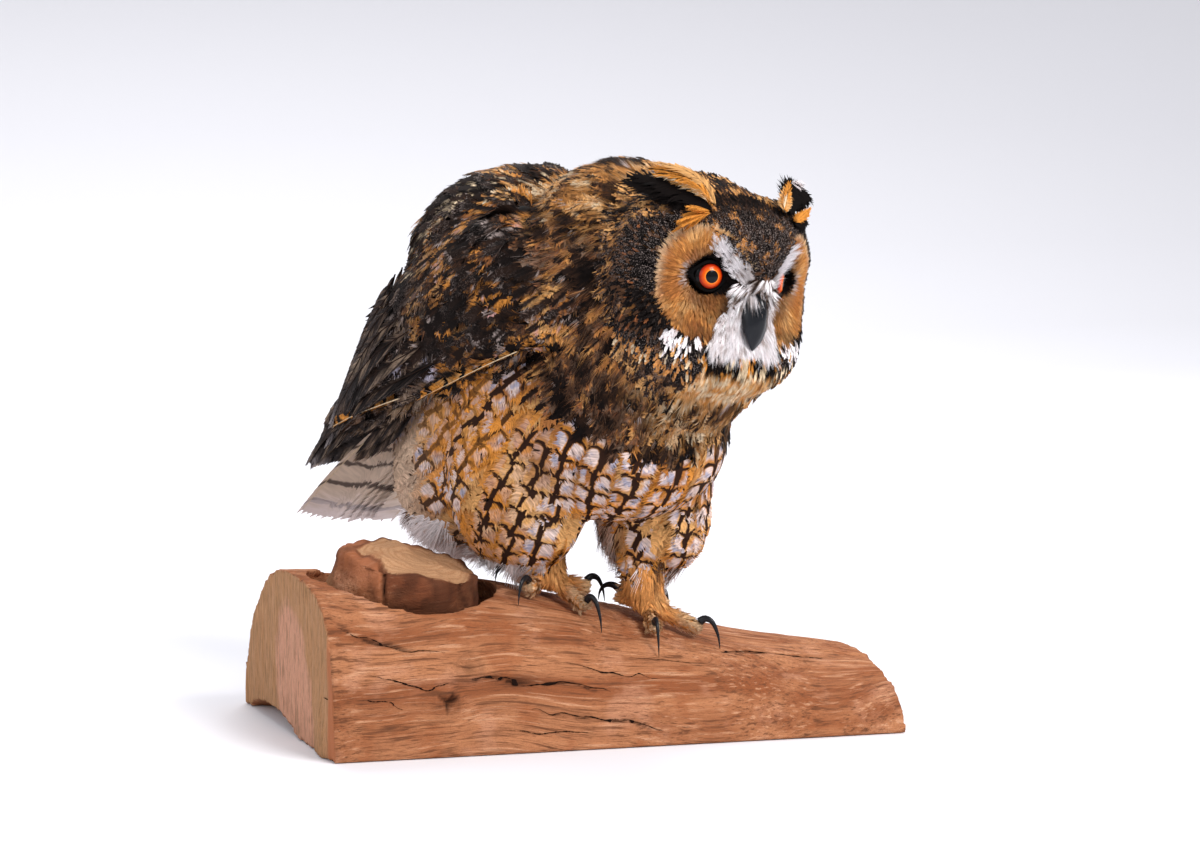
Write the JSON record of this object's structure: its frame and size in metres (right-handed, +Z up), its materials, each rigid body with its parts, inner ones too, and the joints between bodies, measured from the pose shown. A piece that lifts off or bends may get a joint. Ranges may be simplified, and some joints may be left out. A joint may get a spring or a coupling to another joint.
{
  "type": "taxidermy long-eared owl",
  "caption": "Life-size taxidermy long-eared owl crouched forward on a short bare log, head turned to its right, wings folded, flat underside to stand on.",
  "frame": {"origin": "centre of the rectangle round the log's flat underside, on the surface that it stands on", "axes": "+X along the log from its thick end to its thin end, +Z up, and the bird faces between +X and -Y"},
  "size_m": [0.3209, 0.3027, 0.2965],
  "materials": {
    "feather_mottled": "soft matt feathers, brown, buff and black",
    "feather_dark": "soft matt feathers, dark brown with buff marks",
    "feather_tawny": "soft matt feathers, tawny with dark streaks",
    "feather_grey": "soft matt feathers, grey-brown with thin dark bars",
    "feather_leg": "short soft feathers, orange-buff",
    "toe": "short feathers and bare grey toe ends",
    "horn": "glossy black horn",
    "eye": "glass eye, orange iris and black pupil",
    "wood": "bare weathered wood, reddish tan"
  },
  "bodies": {
    "root": {"head": "feather_mottled", "upper_bill": "horn", "lower_bill": "horn", "neck": "feather_mottled", "trunk": "feather_mottled", "eye_left": "eye", "eye_right": "eye", "ear_tuft_left": "feather_dark", "ear_tuft_right": "feather_dark", "tail": "feather_grey", "thigh_left": "feather_tawny", "tarsus_left": "feather_leg", "wing_left": "feather_dark", "primaries_left": "feather_dark", "toe_left_outer": "toe", "toe_left_middle": "toe", "toe_left_inner": "toe", "toe_left_hind": "toe", "claw_left_outer": "horn", "claw_left_middle": "horn", "claw_left_inner": "horn", "claw_left_hind": "horn", "thigh_right": "feather_tawny", "tarsus_right": "feather_leg", "wing_right": "feather_dark", "primaries_right": "feather_dark", "toe_right_outer": "toe", "toe_right_middle": "toe", "toe_right_inner": "toe", "toe_right_hind": "toe", "claw_right_outer": "horn", "claw_right_middle": "horn", "claw_right_inner": "horn", "claw_right_hind": "horn", "log": "wood"}
  },
  "joints": []
}
